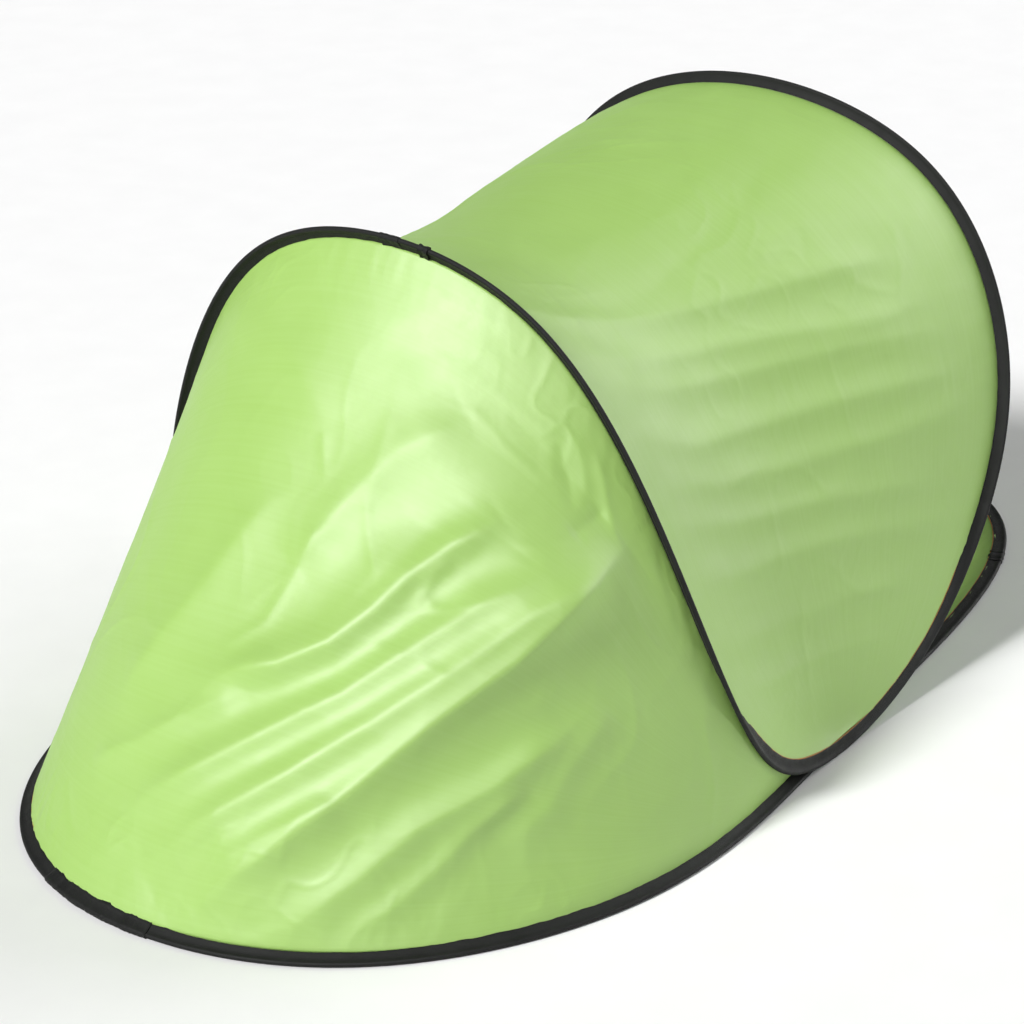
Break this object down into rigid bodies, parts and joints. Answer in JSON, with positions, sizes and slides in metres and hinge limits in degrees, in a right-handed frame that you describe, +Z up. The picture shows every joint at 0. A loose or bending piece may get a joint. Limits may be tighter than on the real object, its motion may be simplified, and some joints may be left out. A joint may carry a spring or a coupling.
{
  "type": "pop up tent",
  "caption": "Low open-fronted pop up tent: a ground hoop and a bent roof hoop of spring wire in sewn tape, with a floor sheet, a rear panel and a saddle roof.",
  "frame": {"origin": "on the ground at the middle of the floor hoop's length and width", "axes": "+X towards the open front, +Y across the tent, +Z up"},
  "size_m": [2.1916, 1.0944, 0.8819],
  "materials": {
    "green_polyester": "satin",
    "binding_tape": "matte",
    "spring_wire": "satin",
    "ferrule": "satin",
    "ribbon": "satin"
  },
  "bodies": {
    "floor": {"floor_sheet": "green_polyester", "floor_wire": "spring_wire", "floor_wire_ferrule": "ferrule", "floor_tape": "binding_tape", "floor_tape_lap_rear": "binding_tape", "floor_tape_lap_front": "binding_tape", "left_foot_seam": "binding_tape", "right_foot_seam": "binding_tape", "left_side_ribbon": "ribbon", "right_side_ribbon": "ribbon", "rear_panel": "green_polyester"},
    "rear_arch": {"rear_arch_wire": "spring_wire", "rear_arch_tape": "binding_tape", "rear_arch_crown_tab": "binding_tape", "rear_arch_tape_lap": "binding_tape", "left_foot_wire": "spring_wire", "right_foot_wire": "spring_wire", "left_foot_tape": "binding_tape", "right_foot_tape": "binding_tape", "roof_panel": "green_polyester"},
    "front_arch": {"front_arch_wire": "spring_wire", "front_arch_tape": "binding_tape", "front_arch_tape_lap": "binding_tape", "roof_wire_ferrule": "ferrule"}
  },
  "joints": [
    {"name": "rear_arch_fold", "type": "hinge", "parent": "floor", "child": "rear_arch", "pos_m": [-0.245, 0, 0.08], "axis": [0, -1, 0], "range_deg": [0, 62], "stiffness_Nm_per_rad": 5, "springref_deg": -28.65, "deforming": ["left_foot_seam", "right_foot_seam", "left_side_ribbon", "right_side_ribbon", "rear_panel"]},
    {"name": "front_arch_fold", "type": "hinge", "parent": "rear_arch", "child": "front_arch", "pos_m": [0.008, 0, -0.531], "axis": [0, -1, 0], "range_deg": [0, 38.44], "deforming": ["left_foot_tape", "right_foot_tape", "left_foot_wire", "right_foot_wire", "roof_panel"]}
  ],
  "couplings": [
    {"joint": "front_arch_fold", "follows": "rear_arch_fold", "ratio": 0.62}
  ]
}
